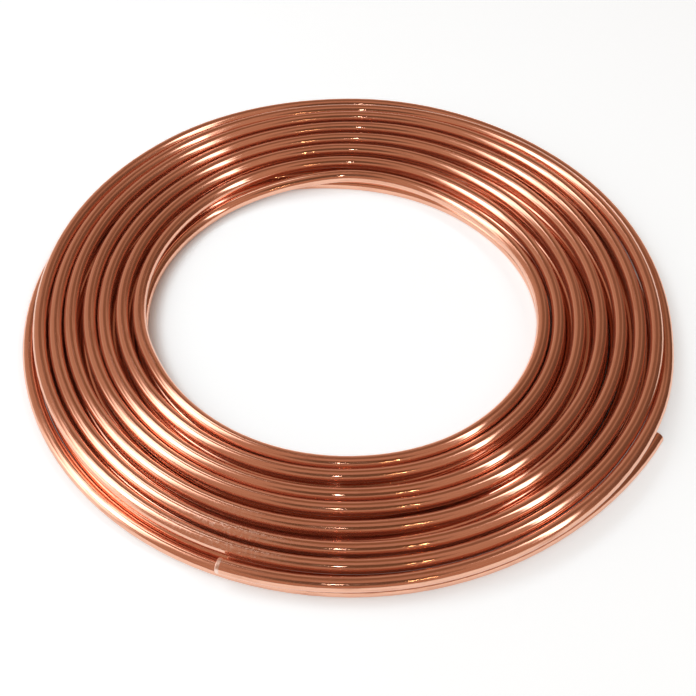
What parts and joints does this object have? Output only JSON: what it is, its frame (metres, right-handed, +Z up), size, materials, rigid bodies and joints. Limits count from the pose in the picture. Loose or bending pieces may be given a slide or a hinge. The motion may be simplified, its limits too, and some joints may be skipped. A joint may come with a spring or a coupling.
{
  "type": "copper tube coil",
  "caption": "Soft copper tube wound into a flat layered coil around an open bore, with square-cut open ends for fittings.",
  "frame": {"origin": "centre of the coil's bore, on the floor that the coil lies on", "axes": "+Z up along the coil's axis, +X to the right and +Y to the back as the picture shows it"},
  "size_m": [0.4574, 0.4585, 0.0192],
  "materials": {
    "copper": "bright drawn copper, dulled and lightly scuffed by handling"
  },
  "bodies": {
    "root": {"copper_tube": "copper"}
  },
  "joints": []
}
